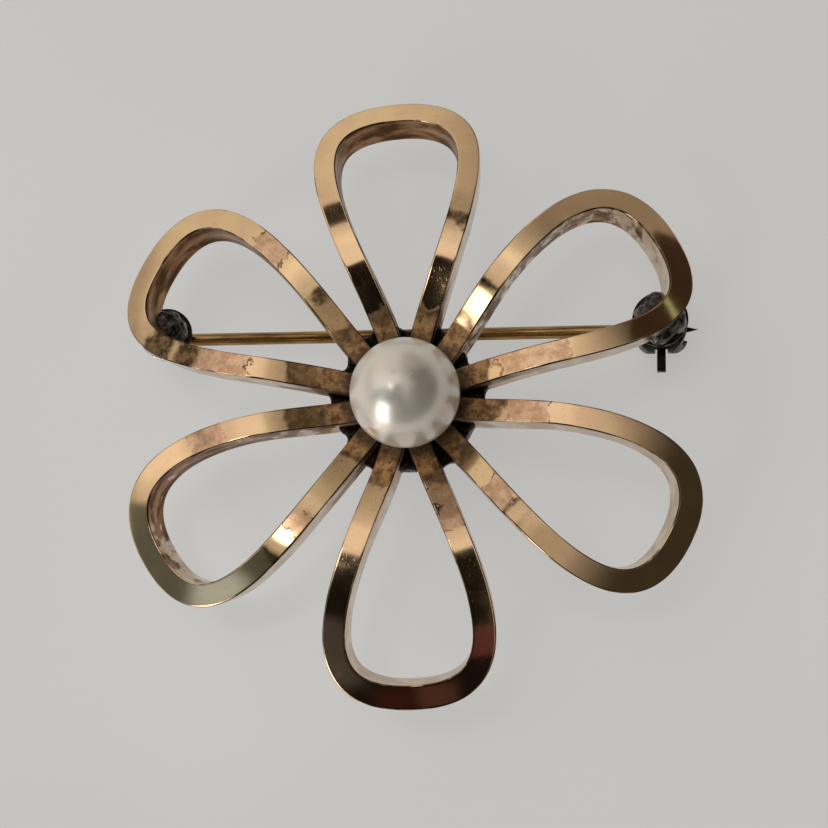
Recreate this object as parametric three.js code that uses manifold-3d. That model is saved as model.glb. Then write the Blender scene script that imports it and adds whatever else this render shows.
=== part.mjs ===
// Flower brooch: six open petals of rectangular gold wire on a hub plate, one pearl,
// and a pin with its hinge and safety catch on the back.
// Millimetres. The flower lies level with the pearl up (+Z), the pin runs along +X
// from hinge to catch, and the origin is the middle of the hub plate's flat back.
import * as THREE from 'three';
import { mergeVertices } from 'three/addons/utils/BufferGeometryUtils.js';
import Module from 'manifold-3d';

// Petal wire
const wireWidth = 1.57;
const wireDepth = 1.95;
const rootRadius = 3.25; // where the wire ends stop, under the pearl
const rootHalfAngle = 15; // each wire end's turn from its petal's slot
const petalSteps = 56; // cross sections along a petal's wire

// The petals' common dome: they rise from the hub, then fall away to the tips
const domeStart = 2.6;
const domeCrestRadius = 11;
const domeRise = 1.32;
const domeFall = 0.024;

const flowerTurn = 1.2; // the flower's turn on its pin, which isn't quite square

// A petal's slot angle at the hub, angle and radius of its tip, then for the two arms
// the turn away from radial, how far it runs straight, and the fullness at the tip
function petalRow(name, slot, tip, length, first, second) {
  return { name, slot: slot + flowerTurn, tip: tip + flowerTurn, length, first, second };
}

const petals = [
  petalRow('petal_top', 90, 92.6, 21.28, [1.4, 7.7, 9.8], [-0.7, 6.2, 10.3]),
  petalRow('petal_upper_right', 30, 32.1, 21.05, [4.8, 4.9, 9.6], [-3.1, 6.9, 10.2]),
  petalRow('petal_lower_right', -30, -29.9, 21.08, [-0.6, 3.7, 10.6], [-0.5, 6, 9]),
  petalRow('petal_bottom', -90, -89.8, 20.6, [5.5, 7, 10], [-1.8, 7.7, 9.5]),
  petalRow('petal_lower_left', -150, -149.9, 20.85, [4.3, 4.3, 10.3], [3, 4.6, 9.7]),
  petalRow('petal_upper_left', 150, 149.6, 21.5, [-1.6, 5.8, 10.1], [1.8, 5.7, 10]),
];

// Hub plate and its raised webs between the wires
const plateRadius = 4.8;
const plateThickness = 0.8;
const webRadius = 6.2;
const webBottom = 0.9; // past the plate's rim
const webTop = 1.95;
const webInnerRadius = 3.45;
const scallopInPetal = 5.6; // how far out the rim's scallops sit, inside a petal
const scallopBetween = 6.2; // and between two petals
const contactGap = 0.03; // between pieces that touch
const webGap = 0.04;

// Pearl, cup and peg; the pearl sits a little off the hub's middle
const pearlRadius = 3.75;
const pearlX = 0.4;
const pearlY = -0.4;
const pearlAboveWire = 2.75;
const cupRadius = 2.5;
const cupRimHeight = 1.77;
const pegRadius = 0.45;
const pegHoleRadius = 0.5;
const pegTop = 4.6;
const pegHoleTop = 4.7;

// Pin, hinge and catch
const stemY = 5.65;
const pivotZ = -2.1;
const hingeX = -18.05;
const catchX = 17.35;
const stemRadius = 0.45;
const stemTipX = 19.95;
const stemTaper = 4.2;
const padRadius = 1.9;
const padTop = -0.3;
const padThickness = 0.4;
const catchPadRadius = 1.95;
const catchPadOffset = 0.35; // toward the top petal
const tangRadius = 0.85;
const tangWidth = 0.95;
const rivetRadius = 0.35;
const rivetHeadRadius = 0.62;
const rivetHeadHeight = 0.28;
const earInner = 0.55;
const earThickness = 0.45;
const earLength = 1.8;
const channelWeb = 0.4;
const housingRadius = 1.65;
const housingBore = 1.1;
const housingLength = 3.6;
const housingRoundness = 1.85; // its ends are rounded to this radius, seen from the front
const mouthWidth = 1.1;
const windowWidth = 0.9;
const windowFrom = 160; // the lever's window, degrees from +Y toward +Z
const windowTo = 318;
const rotorRadius = 1.05;
const rotorBore = 0.52;
const rotorGap = 1;
const rotorLength = 2.9;
const leverWidth = 0.6;
const leverThickness = 0.5;
const leverReach = 3;

const wireTop = plateThickness + contactGap + wireDepth;

// Looks
const gold = { color: 0xc9a67c, roughness: 0.2, metalness: 1 };
const wornGold = { color: 0x8a6a45, roughness: 0.4, metalness: 1 };
const brass = { color: 0xb58b46, roughness: 0.3, metalness: 1 };
const greyMetal = { color: 0x55504a, roughness: 0.55, metalness: 1 };
const solderMetal = { color: 0x8f8c86, roughness: 0.35, metalness: 1 };
const darkMetal = { color: 0x2e241b, roughness: 0.6, metalness: 1 };
const pearlWhite = { color: 0xe2ddd4, roughness: 0.18, metalness: 0 };

const wasm = await Module();
wasm.setup();

const radians = THREE.MathUtils.degToRad;
const brooch = new THREE.Group();

function place(parent, name, geometry, look) {
  const mesh = new THREE.Mesh(geometry, new THREE.MeshStandardMaterial(look));
  mesh.name = name;
  parent.add(mesh);
  return mesh;
}

function group(x, y, z) {
  const made = new THREE.Group();
  made.position.set(x, y, z);
  brooch.add(made);
  return made;
}

// A closed geometry as a solid that can be joined and cut
function solid(geometry) {
  const bare = geometry.clone();
  bare.deleteAttribute('normal');
  bare.deleteAttribute('uv');
  const merged = mergeVertices(bare, 1e-5);
  const vertProperties = new Float32Array(merged.attributes.position.array);
  const triVerts = new Uint32Array(merged.index.array);
  return new wasm.Manifold(new wasm.Mesh({ numProp: 3, vertProperties, triVerts }));
}

function geometryOf(shape) {
  const mesh = shape.getMesh();
  const geometry = new THREE.BufferGeometry();
  geometry.setAttribute('position', new THREE.BufferAttribute(mesh.vertProperties, 3));
  geometry.setIndex(new THREE.BufferAttribute(mesh.triVerts, 1));
  geometry.computeVertexNormals();
  return geometry;
}

// A lathe turned about Z from [radius, height] pairs that run anticlockwise round the section
function turned(profile, segments) {
  const points = profile.map(([radius, height]) => new THREE.Vector2(radius, height));
  return new THREE.LatheGeometry(points, segments).rotateX(Math.PI / 2);
}

function box(width, depth, height, x, y, z) {
  return new THREE.BoxGeometry(width, depth, height).translate(x, y, z);
}

function cylinderX(radius, length, segments) {
  return new THREE.CylinderGeometry(radius, radius, length, segments).rotateZ(-Math.PI / 2);
}

function cylinderY(radius, length, segments) {
  return new THREE.CylinderGeometry(radius, radius, length, segments);
}

function cylinderZ(radius, low, high, segments) {
  const length = high - low;
  const made = new THREE.CylinderGeometry(radius, radius, length, segments).rotateX(Math.PI / 2);
  return made.translate(0, 0, (low + high) / 2);
}

// ---- Petals ----

// Height and slope of the dome's top face at a distance from the hub's axis
function dome(radius) {
  if (radius >= domeCrestRadius) {
    const past = radius - domeCrestRadius;
    return { height: domeRise - domeFall * past * past, slope: -2 * domeFall * past };
  }
  const span = domeCrestRadius - domeStart;
  const share = (radius - domeStart) / span;
  const height = domeRise * share * share * (3 - 2 * share);
  return { height, slope: (6 * domeRise * share * (1 - share)) / span };
}

// Centre line of one arm from its end at the hub to the petal's tip, or back; side is 1 or -1
function armCurve(petal, arm, side) {
  const [turn, straight, fullness] = arm;
  const rootAngle = radians(petal.slot + side * rootHalfAngle);
  const heading = rootAngle + side * radians(turn);
  const tipAngle = radians(petal.tip);
  const root = new THREE.Vector3(Math.cos(rootAngle), Math.sin(rootAngle), 0).multiplyScalar(rootRadius);
  const leave = new THREE.Vector3(Math.cos(heading), Math.sin(heading), 0).multiplyScalar(straight).add(root);
  const tip = new THREE.Vector3(Math.cos(tipAngle), Math.sin(tipAngle), 0).multiplyScalar(petal.length);
  const across = new THREE.Vector3(-Math.sin(tipAngle), Math.cos(tipAngle), 0);
  const arrive = tip.clone().addScaledVector(across, side * fullness);
  if (side === 1) {
    return new THREE.CubicBezierCurve3(root, leave, arrive, tip);
  }
  return new THREE.CubicBezierCurve3(tip, arrive, leave, root);
}

// The wire bent flat round the petal, then laid over the dome; clearance grows it all round
function petalGeometry(petal, clearance) {
  const path = new THREE.CurvePath();
  path.add(armCurve(petal, petal.first, 1));
  path.add(armCurve(petal, petal.second, -1));
  const depth = wireDepth / 2 + clearance;
  const width = wireWidth / 2 + clearance;
  const section = new THREE.Shape();
  section.moveTo(-depth, -width).lineTo(depth, -width).lineTo(depth, width).lineTo(-depth, width).closePath();
  const geometry = new THREE.ExtrudeGeometry(section, { extrudePath: path, steps: petalSteps });
  const position = geometry.attributes.position;
  for (let i = 0; i < position.count; i += 1) {
    const x = position.getX(i);
    const y = position.getY(i);
    const below = wireDepth / 2 - position.getZ(i);
    const radius = Math.hypot(x, y);
    const { height, slope } = dome(radius);
    const scale = 1 / Math.hypot(1, slope);
    const outward = 1 + (below * slope * scale) / radius;
    position.setXYZ(i, x * outward, y * outward, wireTop + height - below * scale);
  }
  return geometry;
}

for (const petal of petals) {
  place(brooch, petal.name, petalGeometry(petal, 0), gold);
}

// ---- Hub plate: a disc with webs standing between the wires, scalloped at the rim ----

// A round-ended notch as wide as the gap between two wires, from a radius out past the rim
function scallop(start, angle) {
  const ends = [start, webRadius + 1].map((radius) => {
    const halfGap = radius * Math.sin(radians(rootHalfAngle)) - wireWidth / 2;
    return solid(cylinderZ(halfGap, -1, webTop + 1, 28).translate(radius, 0, 0));
  });
  return ends[0].hull(ends[1]).rotate([0, 0, angle]);
}

let hub = solid(cylinderZ(plateRadius, 0, webTop, 72));
hub = hub.add(solid(cylinderZ(webRadius, webBottom, webTop, 72)));
hub = hub.subtract(solid(cylinderZ(webInnerRadius, plateThickness, webTop + 1, 48)));
for (const petal of petals) {
  hub = hub.subtract(solid(petalGeometry(petal, webGap)));
}
for (let i = 0; i < 12; i += 1) {
  const start = i % 2 === 0 ? scallopBetween : scallopInPetal;
  hub = hub.subtract(scallop(start, 30 * i + flowerTurn));
}
place(brooch, 'hub_plate', geometryOf(hub), darkMetal);

// ---- Pearl on its cup and peg ----

const pearlZ = wireTop + pearlAboveWire;
const setting = group(pearlX, pearlY, 0);

function spherePoints(radius, fromRadius, toRadius, steps, centre) {
  const points = [];
  const from = Math.asin(fromRadius / radius);
  const to = Math.asin(toRadius / radius);
  for (let i = 0; i <= steps; i += 1) {
    const angle = from + ((to - from) * i) / steps;
    points.push([radius * Math.sin(angle), centre - radius * Math.cos(angle)]);
  }
  return points;
}

const seatBase = plateThickness + contactGap;
const bowl = spherePoints(pearlRadius + webGap, cupRadius - 0.1, pegHoleRadius, 8, pearlZ);
const cupProfile = [
  [pegHoleRadius, seatBase],
  [cupRadius - 0.2, seatBase],
  [cupRadius, seatBase + cupRimHeight - 0.3],
  [cupRadius, seatBase + cupRimHeight],
  ...bowl,
  [pegHoleRadius, seatBase],
];
place(setting, 'pearl_cup', turned(cupProfile, 40), wornGold);

const pegProfile = [[0, seatBase], [pegRadius, seatBase], [pegRadius, pegTop], [0, pegTop]];
place(setting, 'pearl_peg', turned(pegProfile, 24), brass);

const pearlProfile = [[0, pegHoleTop], [pegHoleRadius, pegHoleTop]];
const drilled = Math.asin(pegHoleRadius / pearlRadius);
const pearlSteps = 22;
for (let i = 0; i <= pearlSteps; i += 1) {
  const angle = drilled + ((Math.PI - drilled) * i) / pearlSteps;
  const radius = i === pearlSteps ? 0 : pearlRadius * Math.sin(angle);
  pearlProfile.push([radius, pearlZ - pearlRadius * Math.cos(angle)]);
}
place(setting, 'pearl', turned(pearlProfile, 40), pearlWhite);

// ---- Hinge: a round pad, a channel with two ears, and the rivet ----

const hinge = group(hingeX, stemY, pivotZ);
const padHigh = padTop - pivotZ;
const padLow = padHigh - padThickness;
place(hinge, 'hinge_pad', cylinderZ(padRadius, padLow, padHigh, 36), greyMetal);

const channelTop = padLow - contactGap;
const earOuter = earInner + earThickness;
let channel = solid(box(earLength, 2 * earOuter, channelWeb, 0, 0, channelTop - channelWeb / 2));
for (const side of [1, -1]) {
  const y = side * (earInner + earThickness / 2);
  channel = channel.add(solid(box(earLength, earThickness, channelTop, 0, y, channelTop / 2)));
  channel = channel.add(solid(cylinderY(earLength / 2, earThickness, 32).translate(0, y, 0)));
}
channel = channel.subtract(solid(cylinderY(rivetRadius + contactGap, 4, 24)));
place(hinge, 'hinge_channel', geometryOf(channel), greyMetal);

let rivet = solid(cylinderY(rivetRadius, 2 * (earOuter + contactGap) + 0.1, 24));
for (const side of [1, -1]) {
  const y = side * (earOuter + contactGap + rivetHeadHeight / 2);
  rivet = rivet.add(solid(cylinderY(rivetHeadRadius, rivetHeadHeight, 24).translate(0, y, 0)));
}
place(hinge, 'hinge_rivet', geometryOf(rivet), greyMetal);

// ---- Pin stem: an eye on the rivet, a round shaft and a sharp point past the catch ----

const stemLength = stemTipX - hingeX;
const shaftStart = rivetRadius + 0.2;
const stemProfile = [
  [0, shaftStart],
  [stemRadius, shaftStart],
  [stemRadius, stemLength - stemTaper],
  [stemRadius * 0.78, stemLength - stemTaper * 0.5],
  [stemRadius * 0.42, stemLength - stemTaper * 0.18],
  [0, stemLength],
];
let stem = solid(turned(stemProfile, 20).rotateY(Math.PI / 2));
stem = stem.add(solid(cylinderY(tangRadius, tangWidth, 32)));
stem = stem.subtract(solid(cylinderY(rivetRadius + 0.05, 2, 24)));
place(hinge, 'pin_stem', geometryOf(stem), brass);

// ---- Catch: a round pad, an open barrel, and the turning lock with its lever ----

const safety = group(catchX, stemY, pivotZ);
const catchPad = cylinderZ(catchPadRadius, padLow, padHigh, 36).translate(0, catchPadOffset, 0);
place(safety, 'catch_pad', catchPad, greyMetal);

// A wedge of the barrel's section between two angles, measured from +Y toward +Z
function wedgeX(from, to, reach, length) {
  const points = [new THREE.Vector2(0, 0)];
  for (let i = 0; i <= 12; i += 1) {
    const angle = radians(from + ((to - from) * i) / 12);
    points.push(new THREE.Vector2(reach * Math.cos(angle), reach * Math.sin(angle)));
  }
  const made = new THREE.ExtrudeGeometry(new THREE.Shape(points), { depth: length, bevelEnabled: false });
  made.translate(0, 0, -length / 2);
  return made.rotateX(Math.PI / 2).rotateZ(Math.PI / 2);
}

const barrelTop = padLow - contactGap;
let housing = solid(cylinderX(housingRadius, housingLength, 40));
housing = housing.intersect(solid(cylinderZ(housingRoundness, -3, 3, 48)));
housing = housing.add(solid(box(2.8, 1.6, barrelTop - 0.9, 0, 0, (barrelTop + 0.9) / 2)));
housing = housing.subtract(solid(box(housingLength + 1, 4, 1, 0, 0, barrelTop + 0.5)));
housing = housing.subtract(solid(cylinderX(housingBore, housingLength + 1, 40)));
housing = housing.subtract(solid(box(housingLength + 1, mouthWidth, 3, 0, 0, -1.5)));
housing = housing.subtract(solid(wedgeX(windowFrom, windowTo, 2.5, windowWidth)));
place(safety, 'catch_housing', geometryOf(housing), greyMetal);

let rotor = solid(cylinderX(rotorRadius, rotorLength, 36));
rotor = rotor.add(solid(box(leverWidth, leverReach - 0.7, leverThickness, 0, -(leverReach + 0.7) / 2, 0)));
rotor = rotor.subtract(solid(cylinderX(rotorBore, rotorLength + 1, 28)));
rotor = rotor.subtract(solid(box(rotorLength + 1, rotorGap, 2, 0, 0, -1)));
place(safety, 'catch_rotor', geometryOf(rotor), greyMetal);

// ---- Solder mounds that fill from each pad up to the petal over it ----

function solderMound(x, y, radiusX, radiusY, height, petal) {
  const mound = new THREE.SphereGeometry(1, 24, 14).scale(radiusX, radiusY, height);
  let made = solid(mound.translate(x, y, padTop + contactGap));
  made = made.subtract(solid(box(8, 8, 4, x, y, padTop + contactGap - 2)));
  return made.subtract(solid(petalGeometry(petal, webGap)));
}

const hingeSolder = solderMound(hingeX, stemY, 1.7, 1.65, 1.25, petals[5]);
place(brooch, 'hinge_solder', geometryOf(hingeSolder), solderMetal);
const catchSolder = solderMound(catchX, stemY + catchPadOffset, 1.75, 1.75, 1.35, petals[1]);
place(brooch, 'catch_solder', geometryOf(catchSolder), solderMetal);

export default brooch;
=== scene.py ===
"""Flower brooch: fine meshes, materials, floor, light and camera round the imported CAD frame."""

import math

import bmesh
import bpy
import numpy as np
from mathutils import Matrix, Vector, noise


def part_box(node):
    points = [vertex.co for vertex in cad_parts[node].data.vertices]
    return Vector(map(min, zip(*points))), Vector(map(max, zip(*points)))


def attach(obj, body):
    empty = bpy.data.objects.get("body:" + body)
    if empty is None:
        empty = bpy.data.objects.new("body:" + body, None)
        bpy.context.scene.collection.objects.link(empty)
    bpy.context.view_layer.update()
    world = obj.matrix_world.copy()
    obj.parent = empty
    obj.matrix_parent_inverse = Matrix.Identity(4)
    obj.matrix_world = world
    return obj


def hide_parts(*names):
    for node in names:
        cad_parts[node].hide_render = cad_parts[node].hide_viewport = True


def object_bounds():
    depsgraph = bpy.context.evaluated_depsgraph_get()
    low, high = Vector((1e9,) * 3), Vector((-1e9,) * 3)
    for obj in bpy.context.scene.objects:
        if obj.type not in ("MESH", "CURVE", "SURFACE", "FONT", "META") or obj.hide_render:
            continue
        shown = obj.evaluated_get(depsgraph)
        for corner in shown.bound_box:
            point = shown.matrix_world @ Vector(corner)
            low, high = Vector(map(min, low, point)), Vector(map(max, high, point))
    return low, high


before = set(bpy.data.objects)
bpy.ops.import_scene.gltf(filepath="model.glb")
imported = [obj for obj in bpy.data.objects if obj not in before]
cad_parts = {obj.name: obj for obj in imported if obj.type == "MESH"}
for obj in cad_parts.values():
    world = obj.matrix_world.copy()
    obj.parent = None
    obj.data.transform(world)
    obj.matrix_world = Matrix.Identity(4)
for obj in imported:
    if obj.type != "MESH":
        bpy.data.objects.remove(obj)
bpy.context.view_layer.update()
MM = 0.001

# ---------------------------------------------------------------- dimensions, in millimetres and degrees
WIRE_WIDTH = 1.57
WIRE_DEPTH = 1.95
WIRE_TOP = 2.78
WIRE_EDGE = 0.085  # radius of the wire's rounded edges
ROOT_RADIUS = 3.25  # where the wire ends stop, under the pearl
ROOT_HALF_ANGLE = 15  # each wire end's turn from its petal's slot
SLOT_ANGLE = 2 * ROOT_HALF_ANGLE
FLOWER_TURN = 1.2

# the dome that the wires' top faces follow
DOME_START = 2.6
DOME_CREST = 11
DOME_RISE = 1.32
DOME_FALL = 0.024

# name, slot angle, tip angle, length, then each arm's turn, straight run and fullness
PETALS = [
    ("petal_top", 90, 92.6, 21.28, (1.4, 7.7, 9.8), (-0.7, 6.2, 10.3)),
    ("petal_upper_right", 30, 32.1, 21.05, (4.8, 4.9, 9.6), (-3.1, 6.9, 10.2)),
    ("petal_lower_right", -30, -29.9, 21.08, (-0.6, 3.7, 10.6), (-0.5, 6, 9)),
    ("petal_bottom", -90, -89.8, 20.6, (5.5, 7, 10), (-1.8, 7.7, 9.5)),
    ("petal_lower_left", -150, -149.9, 20.85, (4.3, 4.3, 10.3), (3, 4.6, 9.7)),
    ("petal_upper_left", 150, 149.6, 21.5, (-1.6, 5.8, 10.1), (1.8, 5.7, 10)),
]
ARM_POINTS = 400
PETAL_STEP = 0.11  # between cross sections along the wire
CAP_SCALES = (0.75, 0.9, 1.0)  # how the section grows at the wire's ends
CORNER_STEPS = 4
FLAT_SHARES = (0.04, 0.35, 0.65, 0.96)  # points along each flat of the section
INNER_WALL = 0.93  # how far across, of half the wire's width, its inner wall begins

# Worn patches, dark stains and clean spots: which arm, millimetres from its hub end, half length
# and, for a round spot, how far it sits off the wire's middle
WORN = {
    "petal_top": [(2, 9.1, 0.1)],
    "petal_upper_right": [(2, 6.0, 2.5)],
    "petal_lower_right": [(1, 5.6, 1.5), (2, 6.4, 1.2)],
    "petal_bottom": [(1, 4.2, 0.8), (1, 6.2, 0.9)],
    "petal_lower_left": [(1, 8.2, 0.9), (2, 10.9, 1.2)],
    "petal_upper_left": [(2, 11.0, 1.4), (1, 10.0, 2.2)],
}
STAINED = {
    "petal_top": [(2, 9.8, 0.5)],
    "petal_upper_right": [(1, 6.3, 0.3)],
    "petal_lower_right": [(2, 7.7, 0.15)],
    "petal_bottom": [(1, 6.4, -0.1)],
    "petal_lower_left": [(1, 7.2, 0.1), (1, 11.0, 0.3), (2, 4.0, 1.2), (2, 11.2, -0.1)],
    "petal_upper_left": [(1, 4.0, 1.3), (2, 6.0, 0.7, 0.28), (1, 14.9, 1.2), (1, 12.5, 0.9)],
}
CLEAN = {"petal_upper_right": [(1, 4.6, 1.6)]}
UNMARKED = -2.0  # a mark's value far from any mark; inside one it is above zero

# the hub plate and the solder webs between the wires
PLATE_RADIUS = 4.8
SCALLOP_IN_PETAL = 5.6
SCALLOP_BETWEEN = 6.2
SCALLOP_TRIM = 0.5  # how far the webs' tips fall short of the scallops' own start
HUB_STEPS = 1080
HUB_RINGS = 22
HUB_INNER_RADIUS = 3.0
WEB_HEIGHT = 1.75
WEB_CREEP = 0.42  # how far the solder climbs the wires
WEB_LUMPS = 0.16
WEB_LIMIT = 9.0
WEB_CHAMFER = 0.08
# height and farthest reach of the rows that close the webs' underside and the plate's wall
HUB_SKIRT = [
    (1.1, WEB_LIMIT),
    (0.95, WEB_LIMIT),
    (0.90, PLATE_RADIUS),
    (0.1, PLATE_RADIUS),
    (0.0, PLATE_RADIUS - 0.1),
]

PEARL_HOLE_RADIUS = 0.5
PEARL_HOLE_TOP = 4.7
PEARL_STEPS = (160, 96)
SOLDER_STEPS = (72, 26)
SOLDER_SWELL = 0.16
ROUND_STEPS = 3
SHARP_ANGLE = 35  # edges sharper than this are rounded

# ---------------------------------------------------------------- stage: metres, degrees and watts
FLOOR_HALF = 0.9
FLOOR_GAP = 0.00002
FLOOR_GLOW = 0.76
FLOOR_SHADE = 0.66

CAMERA_AZIMUTH = 33.4
CAMERA_ELEVATION = 73.9
CAMERA_ROLL = 33.3
CAMERA_DISTANCE = 0.150
CAMERA_LENS = 94.8
CAMERA_SHIFT = (0.0105, -0.0213)


def colour(red, green, blue):
    """A colour given as screen values from 0 to 255, for a node socket."""
    parts = []
    for value in (red, green, blue):
        share = value / 255
        parts.append(share / 12.92 if share <= 0.04045 else ((share + 0.055) / 1.055) ** 2.4)
    return (*parts, 1.0)


def grey(value, warm=0.0):
    """A light of that strength, warmer the less blue it keeps."""
    return (value, value * (1 - 0.4 * warm), value * (1 - warm), 1)


# Things in the room that the metal mirrors, each a card with soft edges. Degrees east and north of
# straight up to its middle, half width, half height, softness, slant, then its light. A later card
# lies over an earlier one.
ROOM_CARDS = [
    (-9, 15, 9, 9, 2.5, 0.0, grey(1.08, 0.03)),  # bright ceiling by the top petal's glare
    (-41, 7, 16, 5, 3.0, 0.0, grey(1.2, 0.06)),  # bright strip low in the west
    (7, -3, 7, 6, 4.0, 0.0, grey(0.5, 0.1)),  # softer patch beside the middle
    (42, 34, 13, 14, 0.5, 0.55, (0.045, 0.030, 0.024, 1)),  # dark furniture to the north-east
    (37.2, 30.4, 1.4, 4, 0.6, -0.75, (0.41, 0.48, 0.33, 1)),  # greenish gap in it
    (-44, -17.5, 22, 14.5, 1.0, 0.2, (0.12, 0.15, 0.155, 1)),  # dull curtain to the south-west
    (-41.5, -18.5, 6.5, 6.0, 3.0, 0.6, (0.50, 0.66, 0.85, 1)),  # daylight through it
    (-15.5, 33, 4.0, 4.6, 0.35, 0.0, grey(0.03, 0.3)),  # small dark thing to the north
]
# the dark shape of whoever looks down at the brooch: a body that widens southward from its top edge
VIEWER_EAST = -9.0
VIEWER_TOP = 5.7
VIEWER_HALF = 7.4
VIEWER_SPREAD = 0.29
VIEWER_EDGE = 0.3
VIEWER_CARDS = [
    (-21, -29, 4, 11, 2.5, 0.0, (0.07, 0.07, 0.085, 1)),  # bluish sleeve
    (4, -27, 4, 5, 0.8, 0.0, (0.10, 0.038, 0.045, 1)),  # red patches of clothing
    (-3, -43, 4, 3.5, 1.5, 0.0, (0.08, 0.040, 0.04, 1)),
    (-11, -44, 4, 3.5, 1.5, 0.0, (0.035, 0.012, 0.012, 1)),
]


# ---------------------------------------------------------------- node helpers
class Nodes:
    """Short calls for building a node tree."""

    def __init__(self, tree):
        self.tree = tree
        tree.nodes.clear()

    def add(self, kind, inputs=(), **settings):
        node = self.tree.nodes.new(kind)
        for key, value in settings.items():
            setattr(node, key, value)
        for key, value in dict(inputs).items():
            self.put(node.inputs[key], value)
        return node

    def put(self, socket, value):
        if isinstance(value, bpy.types.NodeSocket):
            self.tree.links.new(value, socket)
        else:
            socket.default_value = value

    def math(self, operation, a, b=0.0):
        return self.add("ShaderNodeMath", {0: a, 1: b}, operation=operation).outputs[0]

    def plus(self, first, *others):
        for value in others:
            first = self.math("ADD", first, value)
        return first

    def minus(self, a, b):
        return self.math("SUBTRACT", a, b)

    def times(self, first, *others):
        for value in others:
            first = self.math("MULTIPLY", first, value)
        return first

    def vector(self, operation, a, b=(0, 0, 0)):
        node = self.add("ShaderNodeVectorMath", {0: a, 1: b}, operation=operation)
        return node.outputs["Value" if operation in ("LENGTH", "DOT_PRODUCT") else "Vector"]

    def noise(self, at, scale, detail=3.0, rough=0.55):
        values = {"Vector": at, "Scale": scale, "Detail": detail, "Roughness": rough}
        return self.add("ShaderNodeTexNoise", values).outputs["Fac"]

    def swing(self, at, scale, amount, detail=3.0, rough=0.55):
        """Noise that goes to either side of zero."""
        return self.times(self.minus(self.noise(at, scale, detail, rough), 0.5), amount)

    def span(self, value, low, high, out_low=0.0, out_high=1.0):
        """Goes smoothly from out_low where the value is low to out_high where it is high."""
        values = {0: value, 1: low, 2: high, 3: out_low, 4: out_high}
        return self.add("ShaderNodeMapRange", values, interpolation_type="SMOOTHSTEP").outputs[0]

    def fade(self, value, low, high, start=1.0):
        """Falls smoothly from the start to nothing."""
        return self.span(value, low, high, start, 0.0)

    def ramp(self, value, low, high):
        """Rises from black to white between two places."""
        node = self.add("ShaderNodeValToRGB", {0: value})
        ends = node.color_ramp.elements
        for end, place, shade in ((ends[0], low, 0.0), (ends[1], high, 1.0)):
            end.position = place
            end.color = (shade, shade, shade, 1)
        return node.outputs["Color"]

    def mix(self, share, a, b):
        node = self.add("ShaderNodeMix", data_type="RGBA")
        for key, value in (("Factor", share), ("A", a), ("B", b)):
            self.put(node.inputs[key], value)
        return node.outputs["Result"]

    def attribute(self, name):
        return self.add("ShaderNodeAttribute", attribute_name=name).outputs["Fac"]


def new_material(name):
    material = bpy.data.materials.new(name)
    material.use_nodes = True
    nodes = Nodes(material.node_tree)
    shader = nodes.add("ShaderNodeBsdfPrincipled")
    output = nodes.add("ShaderNodeOutputMaterial")
    nodes.tree.links.new(shader.outputs[0], output.inputs["Surface"])
    return material, nodes, shader


def place_mm(nodes):
    """The point on the object in millimetres."""
    place = nodes.add("ShaderNodeTexCoord").outputs["Object"]
    return nodes.add("ShaderNodeVectorMath", {0: place, "Scale": 1 / MM}, operation="SCALE").outputs["Vector"]


# ---------------------------------------------------------------- materials
def worn_gold(n, at):
    """The wire's top colour with its worn patches, and where those patches and their cracks are."""
    worn = n.plus(n.attribute("worn"), n.swing(at, 0.9, 2.6, 4.0, 0.6))
    gold = n.mix(n.span(n.noise(at, 0.33, 2.0), 0.35, 0.65), colour(224, 186, 146), colour(232, 198, 150))
    mottle = n.span(n.noise(at, 1.1, 5.0, 0.65), 0.40, 0.62)
    pink = n.mix(mottle, colour(218, 176, 148), colour(164, 118, 92))
    patch = n.span(worn, 0.0, 0.12)
    top = n.mix(n.times(patch, 0.65), gold, pink)
    crack = n.fade(n.math("ABSOLUTE", n.minus(worn, 0.02)), 0.03, 0.12)
    crack = n.times(crack, n.span(n.noise(at, 1.3, 2.0), 0.42, 0.52))
    return n.mix(n.times(crack, 0.85), top, colour(66, 38, 22)), patch, crack


def stains(n, at, top):
    """Soot-dark stains laid over the top colour, each in a faint halo."""
    stained = n.attribute("stained")
    mottle = n.span(n.noise(at, 1.9, 5.0, 0.65), 0.42, 0.62)
    soot = n.mix(mottle, colour(40, 27, 17), colour(108, 84, 56))
    top = n.mix(n.span(stained, -2.6, 0.0, 0.0, 0.4), top, soot)
    smear = n.plus(stained, n.swing(at, 0.8, 1.3, 4.0, 0.6))
    return n.mix(n.span(smear, -0.15, 0.35, 0.0, 0.92), top, soot)


def hub_patina(n, at, reach, top):
    """Brown patina toward the hub, with a darker tide line where it ends and grime with painted shade under
    the pearl's edge, and how thick it lies.
    """
    tide = n.plus(reach, n.swing(at, 0.35, 4.0))
    patina = n.times(n.fade(tide, 6.2, 6.7), n.fade(n.attribute("clean"), -0.2, 0.1))
    mottle = n.span(n.noise(at, 1.7, 6.0, 0.68), 0.36, 0.60)
    brown = n.mix(mottle, colour(96, 60, 28), colour(184, 136, 84))
    olive = n.span(n.noise(at, 0.8, 2.0), 0.56, 0.68)
    brown = n.mix(n.times(olive, 0.35), brown, colour(116, 112, 60))
    haze = n.fade(tide, 6.0, 9.5, 0.75)
    top = n.mix(n.times(haze, 0.6), top, colour(158, 120, 80))
    top = n.mix(n.times(patina, 0.95), top, brown)
    line = n.times(n.span(tide, 5.6, 6.25), n.fade(tide, 6.25, 6.7))
    line = n.times(line, n.span(n.noise(at, 0.25, 1.0), 0.45, 0.55, 0.0, 0.65))
    top = n.mix(line, top, colour(58, 42, 26))
    # painted shade: the pearl's contact shadow, along with some grime, darkens the wires nearest its edge
    top = n.mix(n.fade(reach, 4.0, 5.0, 0.8), top, colour(44, 26, 14))
    specks = n.span(n.noise(at, 4.6, 4.0, 0.6), 0.58, 0.64)
    near = n.span(reach, 4.5, 9.0, 0.75, 0.10)
    return n.mix(n.times(specks, near), top, colour(56, 34, 20)), patina


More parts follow.
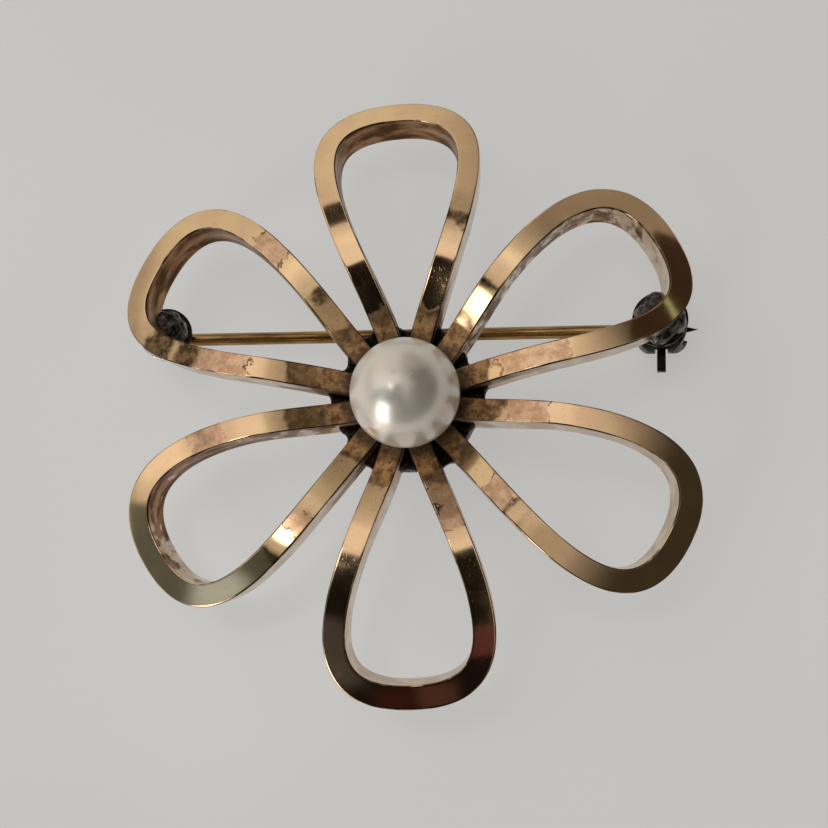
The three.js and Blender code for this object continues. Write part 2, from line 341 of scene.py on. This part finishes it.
def wall_colour(n, at, reach, deep):
    """Side walls, pale and faintly streaked outside and browner inside toward the upper left.

    The second result is how brown they are."""
    inner = n.attribute("inner")
    lean = n.vector("DOT_PRODUCT", at, (-0.034, 0.042, 0.0))
    dull = n.plus(n.noise(at, 0.8, 4.0, 0.6), n.times(lean, 0.55))
    lengthwise = n.times(n.attribute("run"), 0.22)
    grain = n.add("ShaderNodeCombineXYZ", {0: lengthwise, 1: deep}).outputs[0]
    brown_share = n.span(n.noise(grain, 1.6, 5.0, 0.6), 0.38, 0.66)
    brown = n.mix(brown_share, colour(92, 66, 44), colour(178, 138, 104))
    pale = n.mix(n.span(n.noise(at, 0.6, 3.0), 0.4, 0.6), colour(206, 184, 160), colour(224, 208, 188))
    streak = n.span(n.noise(grain, 2.6, 3.0), 0.50, 0.72)
    pale = n.mix(n.times(streak, 0.3), pale, colour(120, 92, 70))
    near_hub = n.plus(reach, n.times(n.noise(grain, 1.1, 4.0), 14.0))
    grimy = n.times(n.fade(near_hub, 13.0, 16.5, 0.9), n.minus(1.0, inner))
    browned = n.plus(n.times(n.span(dull, 0.46, 0.62), inner), grimy)
    return n.mix(browned, pale, brown), browned


def gold_material():
    """Polished rose gold: patina toward the hub with grime and painted shade under the pearl, worn patches,
    stains, painted dark reflections along the edges and dull inner walls.
    """
    material, n, shader = new_material("gold_wire")
    at = place_mm(n)
    reach = n.vector("LENGTH", n.vector("MULTIPLY", at, (1, 1, 0)))
    deep = n.attribute("deep")

    top, patch, crack = worn_gold(n, at)
    top = stains(n, at, top)
    top, patina = hub_patina(n, at, reach, top)
    side, browned = wall_colour(n, at, reach, deep)
    wall = n.span(deep, 0.05, 0.12)
    whole = n.mix(wall, top, side)

    # a painted dark reflection along the rounded edges: a thin dark line in the base colour where the edge
    # would mirror something dark
    across = n.math("ABSOLUTE", n.attribute("across"))
    rim = n.times(n.span(across, 0.70, 0.73), n.fade(deep, 0.10, 0.16))
    rim = n.times(rim, n.span(n.noise(at, 0.35, 3.0), 0.42, 0.54, 0.1, 0.95))
    n.put(shader.inputs["Base Color"], n.mix(rim, whole, colour(58, 38, 24)))

    crust = n.times(patina, n.span(wall, 0.0, 1.0, 1.0, 0.3))
    n.put(shader.inputs["Metallic"], n.span(crust, 0.0, 1.0, 1.0, 0.45))

    rough = n.plus(0.045, n.times(n.noise(at, 1.1, 4.0), 0.07))
    rough = n.plus(rough, n.times(patina, 0.30), n.times(patch, 0.12))
    rough = n.plus(rough, n.times(wall, n.span(browned, 0.0, 1.0, 0.12, 0.28)))
    n.put(shader.inputs["Roughness"], rough)

    wave = n.times(n.noise(at, 0.45, 1.0), 0.10)
    scratched = n.noise(n.vector("MULTIPLY", at, (9.0, 1.2, 1.0)), 1.6, 2.0)
    scratch = n.times(n.span(scratched, 0.66, 0.70), -0.004)
    pits = n.times(n.noise(at, 7.0, 3.0), n.plus(0.001, n.times(patina, 0.03)))
    height = n.plus(wave, scratch, pits, n.times(crack, -0.04))
    bump = n.add("ShaderNodeBump", {"Strength": 0.7, "Distance": 0.0001, "Height": height})
    n.put(shader.inputs["Normal"], bump.outputs[0])
    return material


def metal_material(name, light, dark, rough, scale, bump_mm, metallic=1.0, stretch=(1, 1, 1), edge=None):
    """A worn metal: two colours mottled together, with uneven gloss and a fine lumpy bump.

    An edge gives the piece another colour past a place along an axis: axis, low, high, colour."""
    material, n, shader = new_material(name)
    place = place_mm(n)
    at = n.vector("MULTIPLY", place, stretch)
    cloud = n.noise(at, scale, 6.0, 0.65)
    base = n.mix(n.ramp(cloud, 0.35, 0.65), dark, light)
    if edge:
        axis, low, high, tint = edge
        along = n.add("ShaderNodeSeparateXYZ", {0: place}).outputs[axis]
        base = n.mix(n.span(n.plus(along, n.times(cloud, 0.6)), low, high), base, tint)
    n.put(shader.inputs["Base Color"], base)
    n.put(shader.inputs["Metallic"], metallic)
    n.put(shader.inputs["Roughness"], n.span(n.noise(at, scale * 1.7, 4.0), 0.3, 0.7, *rough))
    height = n.noise(at, scale * 2.2, 5.0, 0.6)
    bump = n.add("ShaderNodeBump", {"Strength": 1.0, "Distance": bump_mm * MM, "Height": height})
    n.put(shader.inputs["Normal"], bump.outputs[0])
    return material


def pearl_material():
    """Nacre: a warm white body under a soft sheen and a thin clear gloss."""
    material, n, shader = new_material("pearl")
    cloud = n.noise(place_mm(n), 0.4, 3.0)
    facing = n.add("ShaderNodeLayerWeight", {"Blend": 0.35}).outputs["Facing"]
    body = n.mix(n.span(cloud, 0.35, 0.65), colour(222, 212, 196), colour(232, 224, 210))
    rough = n.plus(n.times(facing, 0.08), n.span(cloud, 0.3, 0.7, 0.25, 0.30))
    n.put(shader.inputs["Base Color"], body)
    n.put(shader.inputs["Metallic"], 0.45)
    n.put(shader.inputs["Roughness"], rough)
    shader.inputs["Specular IOR Level"].default_value = 0.7
    shader.inputs["Coat Weight"].default_value = 0.5
    shader.inputs["Coat Roughness"].default_value = 0.12
    return material


GREY_LIGHT = colour(56, 50, 45)
GREY_DARK = colour(15, 12, 10)

GOLD = gold_material()
BRASS = metal_material(
    "pin_brass", colour(184, 148, 94), colour(96, 68, 38), (0.14, 0.28), 1.6, 0.006,
    stretch=(0.12, 1, 1), edge=(0, 18.4, 19.0, colour(34, 26, 20)),  # the stem's tip is dark
)
GREY = metal_material("grey_metal", GREY_LIGHT, GREY_DARK, (0.25, 0.5), 1.6, 0.04)
TINNED = metal_material(
    "tinned_metal", GREY_LIGHT, GREY_DARK, (0.2, 0.45), 1.4, 0.08,
    edge=(1, 5.1, 4.7, colour(206, 202, 194)),  # silver solder on the hinge pad's lower side
)
SOLDER = metal_material(
    "solder", colour(104, 98, 92), colour(24, 20, 18), (0.18, 0.42), 1.1, 0.06,
    edge=(2, 0.45, 0.25, colour(140, 137, 126)),  # paler along the mound's foot
)
DARK = metal_material("hub_metal", colour(58, 42, 28), colour(12, 8, 6), (0.28, 0.6), 1.8, 0.04, 0.8)
CUP = metal_material("worn_gold", colour(150, 116, 74), colour(70, 48, 28), (0.25, 0.5), 2.0, 0.03)
PEARL = pearl_material()


# ---------------------------------------------------------------- mesh helpers
def add_to_scene(name, data):
    obj = bpy.data.objects.new(name, data)
    bpy.context.scene.collection.objects.link(obj)
    return obj


def make_object(name, points, faces, material, body, replaces):
    """A smooth-shaded piece from points in millimetres, which stands for a CAD node."""
    mesh = bpy.data.meshes.new(name)
    mesh.from_pydata([tuple(p) for p in np.asarray(points) * MM], [], faces)
    mesh.validate()
    obj = add_to_scene(name, mesh)
    mesh.materials.append(material)
    mesh.polygons.foreach_set("use_smooth", [True] * len(mesh.polygons))
    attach(obj, body)
    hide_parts(replaces)
    return obj


def refined(node, name, material, body, slot, bevel_mm):
    """A CAD node's shape with its flat faces joined and its edges rounded."""
    edit = bmesh.new()
    edit.from_mesh(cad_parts[node].data)
    bmesh.ops.remove_doubles(edit, verts=edit.verts, dist=1e-6)
    flat = math.radians(1.0)
    bmesh.ops.dissolve_limit(edit, angle_limit=flat, verts=edit.verts, edges=edit.edges)
    mesh = bpy.data.meshes.new(name)
    edit.to_mesh(mesh)
    edit.free()
    obj = add_to_scene(name, mesh)
    mesh.materials.clear()
    mesh.materials.append(material)
    mesh.polygons.foreach_set("use_smooth", [True] * len(mesh.polygons))
    bevel = obj.modifiers.new("edges", "BEVEL")
    bevel.width = bevel_mm * MM
    bevel.segments = ROUND_STEPS
    bevel.limit_method = "ANGLE"
    bevel.angle_limit = math.radians(SHARP_ANGLE)
    bevel.harden_normals = True
    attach(obj, body)
    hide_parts(node)
    return obj


def ring_faces(rings, around):
    """Quads between successive closed rings of points."""
    faces = []
    for i in range(rings - 1):
        for j in range(around):
            k = (j + 1) % around
            corners = (i * around + j, i * around + k, (i + 1) * around + k, (i + 1) * around + j)
            faces.append(corners)
    return faces


def end_faces(rings, around):
    """One face over the first ring and one over the last, facing opposite ways."""
    last = (rings - 1) * around
    return tuple(range(around)), tuple(last + j for j in reversed(range(around)))


# ---------------------------------------------------------------- petals
def dome(radius):
    """Height and slope of the dome's top face at each distance from the hub's axis."""
    past = radius - DOME_CREST
    rise_length = DOME_CREST - DOME_START
    share = (radius - DOME_START) / rise_length
    rising = radius < DOME_CREST
    height = np.where(rising, DOME_RISE * share**2 * (3 - 2 * share), DOME_RISE - DOME_FALL * past**2)
    slope = np.where(rising, 6 * DOME_RISE * share * (1 - share) / rise_length, -2 * DOME_FALL * past)
    return height, slope


def heading(angle):
    return np.array([math.cos(angle), math.sin(angle)])


def arm_points(petal, arm, side):
    """Points from the hub to the tip along one arm's centre line."""
    _, slot, tip, length, _, _ = petal
    turn, straight, fullness = arm
    root_angle = math.radians(slot + FLOWER_TURN + side * ROOT_HALF_ANGLE)
    tip_angle = math.radians(tip + FLOWER_TURN)
    root = ROOT_RADIUS * heading(root_angle)
    leave = root + straight * heading(root_angle + side * math.radians(turn))
    end = length * heading(tip_angle)
    arrive = end + side * fullness * np.array([-math.sin(tip_angle), math.cos(tip_angle)])
    t = np.linspace(0, 1, ARM_POINTS)[:, None]
    near = (1 - t) ** 3 * root + 3 * (1 - t) ** 2 * t * leave
    return near + 3 * (1 - t) * t**2 * arrive + t**3 * end


def even_path(points, step):
    """The same path with its points at even spacing, and the direction and length so far at each."""
    lengths = np.concatenate([[0], np.cumsum(np.linalg.norm(np.diff(points, axis=0), axis=1))])
    run = np.linspace(0, lengths[-1], int(lengths[-1] / step) + 1)
    path = np.stack([np.interp(run, lengths, points[:, k]) for k in (0, 1)], 1)
    along = np.gradient(path, axis=0)
    along /= np.linalg.norm(along, axis=1)[:, None]
    return path, along, run


def wire_section():
    """The wire's cross section as (across, deep) pairs, with rounded corners."""
    half = WIRE_WIDTH / 2
    corners = ((-half, 0, 180), (half, 0, 270), (half, WIRE_DEPTH, 0), (-half, WIRE_DEPTH, 90))
    arcs = []
    for across, deep, start in corners:
        x = across - math.copysign(WIRE_EDGE, across)
        y = deep + (WIRE_EDGE if deep == 0 else -WIRE_EDGE)
        angles = [math.radians(start + 90 * k / CORNER_STEPS) for k in range(CORNER_STEPS + 1)]
        arcs.append([(x + WIRE_EDGE * math.cos(a), y + WIRE_EDGE * math.sin(a)) for a in angles])
    section = []
    for arc, following in zip(arcs, arcs[1:] + arcs[:1]):
        (x0, y0), (x1, y1) = arc[-1], following[0]
        section += arc + [(x0 + share * (x1 - x0), y0 + share * (y1 - y0)) for share in FLAT_SHARES]
    return np.array(section)


def mark(obj, name, values):
    """Store a value at each point of the mesh, for the material to read."""
    obj.data.attributes.new(name, "FLOAT", "POINT").data.foreach_set("value", values)


def mark_depth(places, run, across):
    """How deep inside the nearest of the marks each point lies, below zero outside them."""
    inside = np.full(len(run), UNMARKED)
    for arm, centre, half, *beside in places:
        away = np.abs(run - (centre if arm == 1 else run[-1] - centre))
        if beside:
            away = np.hypot(away, across - beside[0])
        inside = np.maximum(inside, half - away)
    return inside


def make_petal(petal):
    """One petal's wire, swept along both arms with its top face on the dome."""
    name, _, _, _, first_arm, second_arm = petal
    first = arm_points(petal, first_arm, 1)
    second = arm_points(petal, second_arm, -1)
    path, along, run = even_path(np.concatenate([first, second[::-1][1:]]), PETAL_STEP)
    outward = np.stack([along[:, 1], -along[:, 0]], 1)
    middle = len(path) // 2
    if outward[middle] @ path[middle] < 0:
        outward = -outward
    section = wire_section()
    around = len(section)
    last = len(path) - 1
    stations = [(0, scale) for scale in CAP_SCALES]
    stations += [(i, 1.0) for i in range(1, last)]
    stations += [(last, scale) for scale in reversed(CAP_SCALES)]
    rows, facts = [], []
    for i, scale in stations:
        across = section[:, 0] * scale
        deep = WIRE_DEPTH / 2 + (section[:, 1] - WIRE_DEPTH / 2) * scale
        plan = path[i] + across[:, None] * outward[i]
        radius = np.hypot(plan[:, 0], plan[:, 1])
        height, slope = dome(radius)
        tilt = 1 / np.hypot(1, slope)
        push = 1 + deep * slope * tilt / radius
        rows.append(np.column_stack([plan * push[:, None], WIRE_TOP + height - deep * tilt]))
        facts.append(np.column_stack([deep, across, np.full(around, run[i])]))
    faces = ring_faces(len(rows), around) + list(end_faces(len(rows), around))
    obj = make_object("wire_" + name, np.concatenate(rows), faces, GOLD, "flower", name)
    deep, across, run_at = np.concatenate(facts).T
    mark(obj, "deep", deep)
    mark(obj, "across", across)
    mark(obj, "run", run_at)
    mark(obj, "inner", (-across / (WIRE_WIDTH / 2) > INNER_WALL).astype(float))
    for key, places in (("worn", WORN), ("stained", STAINED), ("clean", CLEAN)):
        mark(obj, key, mark_depth(places.get(name, []), run_at, across))


for petal in PETALS:
    make_petal(petal)


# ---------------------------------------------------------------- hub plate with its solder webs
def rim_radius(off, start):
    """How far the webs reach at an angle off a gap's middle; its scallop begins at the start radius."""
    angle = abs(math.radians(off))
    cap = start - SCALLOP_TRIM
    half_slot = math.radians(ROOT_HALF_ANGLE)
    half_gap = start * math.sin(half_slot) - WIRE_WIDTH / 2
    touch = math.atan2(half_gap * math.cos(half_slot), start - half_gap * math.sin(half_slot))
    if angle <= touch:
        scallop = start * math.cos(angle) - math.sqrt(half_gap**2 - (start * math.sin(angle)) ** 2)
        return min(cap, scallop)
    return cap * (1 - 0.9 * (angle - touch))


def web_height(x, y, radius, off, rim):
    """Height of the solder's lumpy top, which climbs the wires beside it and rounds off at its rim."""
    half_gap = max(0.06, radius * math.sin(math.radians(ROOT_HALF_ANGLE)) - WIRE_WIDTH / 2)
    beside = min(1.0, abs(radius * math.sin(off)) / half_gap)
    lump = WEB_LUMPS * noise.fractal(Vector((x * 1.3, y * 1.3, 0.3)), 0.8, 2.0, 3)
    rounded = 0.22 * max(0.0, 1 - (rim - radius) / 0.28) ** 2 if beside < 1 else 0
    lift = float(dome(radius)[0]) if radius > DOME_START else 0.0
    return WEB_HEIGHT + lift + WEB_CREEP * beside**3 + lump - rounded


def make_hub():
    """The plate and the webs as one closed skin: rings over the top, then the skirt down to the back."""
    edge = []
    for j in range(HUB_STEPS):
        degrees = 360 * j / HUB_STEPS
        gap = round(degrees / SLOT_ANGLE)
        off = degrees - SLOT_ANGLE * gap
        rim = rim_radius(off, SCALLOP_BETWEEN if gap % 2 == 0 else SCALLOP_IN_PETAL)
        edge.append((math.radians(degrees + FLOWER_TURN), math.radians(off), rim))
    points = []
    for i in range(HUB_RINGS):
        share = 1 - (1 - i / (HUB_RINGS - 1)) ** 1.6
        for angle, off, rim in edge:
            radius = HUB_INNER_RADIUS + (rim - HUB_INNER_RADIUS) * share
            x, y = radius * math.cos(angle), radius * math.sin(angle)
            points.append((x, y, web_height(x, y, radius, off, rim)))
    for height, limit in HUB_SKIRT:
        is_web = limit == WEB_LIMIT
        for angle, off, rim in edge:
            radius = min(limit, rim - (WEB_CHAMFER if is_web and height < 1 else 0))
            lift = float(dome(radius)[0]) if is_web else 0.0
            points.append((radius * math.cos(angle), radius * math.sin(angle), height + lift))
    rings = HUB_RINGS + len(HUB_SKIRT)
    top, bottom = end_faces(rings, HUB_STEPS)
    faces = [tuple(reversed(face)) for face in ring_faces(rings, HUB_STEPS)] + [top, bottom]
    make_object("hub_web", points, faces, DARK, "flower", "hub_plate")


make_hub()


# ---------------------------------------------------------------- pearl and its peg
def make_pearl():
    """The pearl as a turned shape, with the hole for its peg."""
    low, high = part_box("pearl")
    centre = (low + high) / 2 / MM
    radius = (high.x - low.x) / 2 / MM
    around, steps = PEARL_STEPS
    profile = [(0.002, PEARL_HOLE_TOP), (PEARL_HOLE_RADIUS, PEARL_HOLE_TOP)]
    start = math.asin(PEARL_HOLE_RADIUS / radius)
    for i in range(steps + 1):
        angle = start + (math.pi - start - 0.002) * i / steps
        profile.append((radius * math.sin(angle), centre.z - radius * math.cos(angle)))
    points = []
    for ring, height in profile:
        for j in range(around):
            angle = 2 * math.pi * j / around
            points.append((centre.x + ring * math.cos(angle), centre.y + ring * math.sin(angle), height))
    ends = [tuple(reversed(face)) for face in end_faces(len(profile), around)]
    faces = ring_faces(len(profile), around) + ends
    make_object("pearl_ball", points, faces, PEARL, "flower", "pearl")


make_pearl()
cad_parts["pearl_peg"].data.materials.clear()
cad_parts["pearl_peg"].data.materials.append(BRASS)

# ---------------------------------------------------------------- cup and findings
# node, piece, material, body, slot and rounding in millimetres
REFINED = [
    ("pearl_cup", "cup", CUP, "flower", "worn_gold", 0.05),
    ("hinge_pad", "hinge_base", TINNED, "flower", "grey_metal", 0.06),
    ("hinge_channel", "hinge_ears", GREY, "flower", "grey_metal", 0.05),
    ("hinge_rivet", "hinge_pin", GREY, "flower", "grey_metal", 0.06),
    ("catch_pad", "catch_base", GREY, "flower", "grey_metal", 0.06),
    ("catch_housing", "catch_barrel", GREY, "flower", "grey_metal", 0.05),
    ("catch_rotor", "catch_lock", GREY, "lock", "grey_metal", 0.04),
    ("pin_stem", "stem", BRASS, "pin", "pin_brass", 0.04),
]
for piece in REFINED:
    refined(*piece)


def make_solder(name, node, seed):
    """A lumpy mound of solder over a pad."""
    low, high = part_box(node)
    low, high = low / MM, high / MM
    centre = (low + high) / 2
    half = (high - low) / 2
    around, rings = SOLDER_STEPS
    points = []
    for i in range(rings):
        tilt = math.pi / 2 * i / (rings - 1)
        for j in range(around):
            angle = 2 * math.pi * j / around
            x, y, z = math.cos(angle) * math.sin(tilt), math.sin(angle) * math.sin(tilt), math.cos(tilt)
            wander = noise.fractal(Vector((x * 1.7 + seed, y * 1.7, z * 1.7)), 0.9, 2.0, 3)
            lump = 1 + SOLDER_SWELL * wander
            height = low.z + (high.z - low.z) * z * lump
            points.append((centre.x + half.x * x * lump, centre.y + half.y * y * lump, height))
    faces = ring_faces(rings, around) + [tuple(reversed(face)) for face in end_faces(rings, around)]
    make_object(name, points, faces, SOLDER, "flower", node)


make_solder("solder_hinge", "hinge_solder", 3.1)
make_solder("solder_catch", "catch_solder", 8.4)


# ---------------------------------------------------------------- floor, light, camera
def make_floor():
    """A pale floor just under the brooch, evenly lit whatever stands round it."""
    low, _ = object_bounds()
    half, z = FLOOR_HALF, low.z - FLOOR_GAP
    corners = [(-half, -half, z), (half, -half, z), (half, half, z), (-half, half, z)]
    mesh = bpy.data.meshes.new("floor")
    mesh.from_pydata(corners, [], [(0, 1, 2, 3)])
    obj = add_to_scene("floor", mesh)
    material, n, shader = new_material("floor")
    at = n.add("ShaderNodeTexCoord").outputs["Object"]
    pale = n.mix(n.noise(at, 22.0, 2.0), colour(196, 195, 193), colour(202, 201, 199))
    n.put(shader.inputs["Base Color"], n.mix(FLOOR_SHADE, pale, (0.0, 0.0, 0.0, 1)))
    n.put(shader.inputs["Roughness"], n.span(n.noise(at, 60.0, 2.0), 0.3, 0.7, 0.30, 0.36))
    n.put(shader.inputs["Emission Color"], pale)
    shader.inputs["Emission Strength"].default_value = FLOOR_GLOW
    mesh.materials.append(material)


make_floor()


def make_world():
    """The room the polished metal mirrors, laid out in degrees east and north of straight up."""
    world = bpy.data.worlds.new("room")
    bpy.context.scene.world = world
    world.use_nodes = True
    n = Nodes(world.node_tree)
    way = n.add("ShaderNodeTexCoord").outputs["Generated"]
    parts = n.add("ShaderNodeSeparateXYZ", {0: way})
    lean = n.times(n.math("ARCCOSINE", parts.outputs[2]), 180 / math.pi)
    level = n.vector("LENGTH", n.vector("MULTIPLY", way, (1, 1, 0)))
    east = n.times(lean, n.math("DIVIDE", parts.outputs[0], level))
    north = n.times(lean, n.math("DIVIDE", parts.outputs[1], level))

    def with_cards(light, cards):
        for x, y, half_x, half_y, soft, slant, shade in cards:
            up = n.minus(north, y)
            off_x = n.math("ABSOLUTE", n.minus(east, n.plus(n.times(up, slant), x)))
            off_y = n.math("ABSOLUTE", up)
            inside_x = n.fade(off_x, half_x - soft, half_x + soft)
            inside_y = n.fade(off_y, half_y - soft, half_y + soft)
            light = n.mix(n.times(inside_x, inside_y), light, shade)
        return light

    # bright in the west, falling off eastward, the sooner the farther from the middle
    off = n.minus(north, 8.0)
    spread = n.math("MAXIMUM", n.times(off, 0.8), n.times(off, -0.4))
    light = n.mix(n.span(n.plus(east, spread), 0, 42), grey(0.90, 0.06), grey(0.05, 0.25))
    far = n.mix(n.span(east, -14, 12), grey(0.77, 0.07), grey(0.33, 0.15))
    light = n.mix(n.span(north, 28, 42), light, far)
    light = n.mix(n.fade(east, -63, -57), light, grey(0.52, 0.08))
    light = with_cards(light, ROOM_CARDS)

    below = n.minus(VIEWER_TOP, north)
    reach = n.plus(n.times(below, VIEWER_SPREAD), VIEWER_HALF)
    aside = n.minus(n.math("ABSOLUTE", n.minus(east, VIEWER_EAST)), reach)
    beneath = n.span(below, -VIEWER_EDGE, VIEWER_EDGE)
    viewer = n.times(n.fade(aside, -VIEWER_EDGE, VIEWER_EDGE), beneath)
    light = n.mix(viewer, light, grey(0.009, 0.15))
    light = with_cards(light, VIEWER_CARDS)

    # an even grey all round the horizon
    light = n.mix(n.span(lean, 77, 84), light, grey(0.60, 0.05))
    background = n.add("ShaderNodeBackground", {"Color": light, "Strength": 1.0})
    output = n.add("ShaderNodeOutputWorld")
    n.tree.links.new(background.outputs[0], output.inputs["Surface"])


make_world()


def make_lamp(name, east, north, distance, width, height, watts):
    """An area light that far east and north of overhead, in degrees, aimed at the brooch."""
    lean = math.radians(math.hypot(east, north))
    turn = math.atan2(north, east)
    way = Vector((math.sin(lean) * math.cos(turn), math.sin(lean) * math.sin(turn), math.cos(lean)))
    data = bpy.data.lights.new(name, "AREA")
    data.shape = "RECTANGLE"
    data.size = width
    data.size_y = height
    data.energy = watts
    obj = add_to_scene(name, data)
    across = (Vector((1, 0, 0)) - way * way.x).normalized()
    turned = Matrix((across, way.cross(across), way)).transposed().to_4x4()
    obj.matrix_world = Matrix.Translation(way * distance) @ turned


make_lamp("window", east=-44, north=-51, distance=0.6, width=0.24, height=0.42, watts=1.2)
make_lamp("glint", east=-18.9, north=0.4, distance=0.1515, width=0.02, height=0.02, watts=0.0055)


def make_camera():
    azimuth, elevation = math.radians(CAMERA_AZIMUTH), math.radians(CAMERA_ELEVATION)
    roll = math.radians(CAMERA_ROLL)
    back = Vector((
        math.sin(azimuth) * math.cos(elevation),
        -math.cos(azimuth) * math.cos(elevation),
        math.sin(elevation),
    ))
    level = Vector((math.cos(azimuth), math.sin(azimuth), 0))
    rise = back.cross(level)
    right = level * math.cos(roll) - rise * math.sin(roll)
    up = level * math.sin(roll) + rise * math.cos(roll)
    data = bpy.data.cameras.new("camera")
    data.sensor_width = 36
    data.lens = CAMERA_LENS
    data.shift_x, data.shift_y = CAMERA_SHIFT
    data.clip_start = 0.001
    data.clip_end = 10
    obj = add_to_scene("camera", data)
    turn = Matrix((right, up, back)).transposed().to_4x4()
    target = Vector((0, 0, WIRE_TOP * MM))
    obj.matrix_world = Matrix.Translation(target + back * CAMERA_DISTANCE) @ turn
    bpy.context.scene.camera = obj


make_camera()
bpy.context.scene.view_settings.view_transform = "Standard"
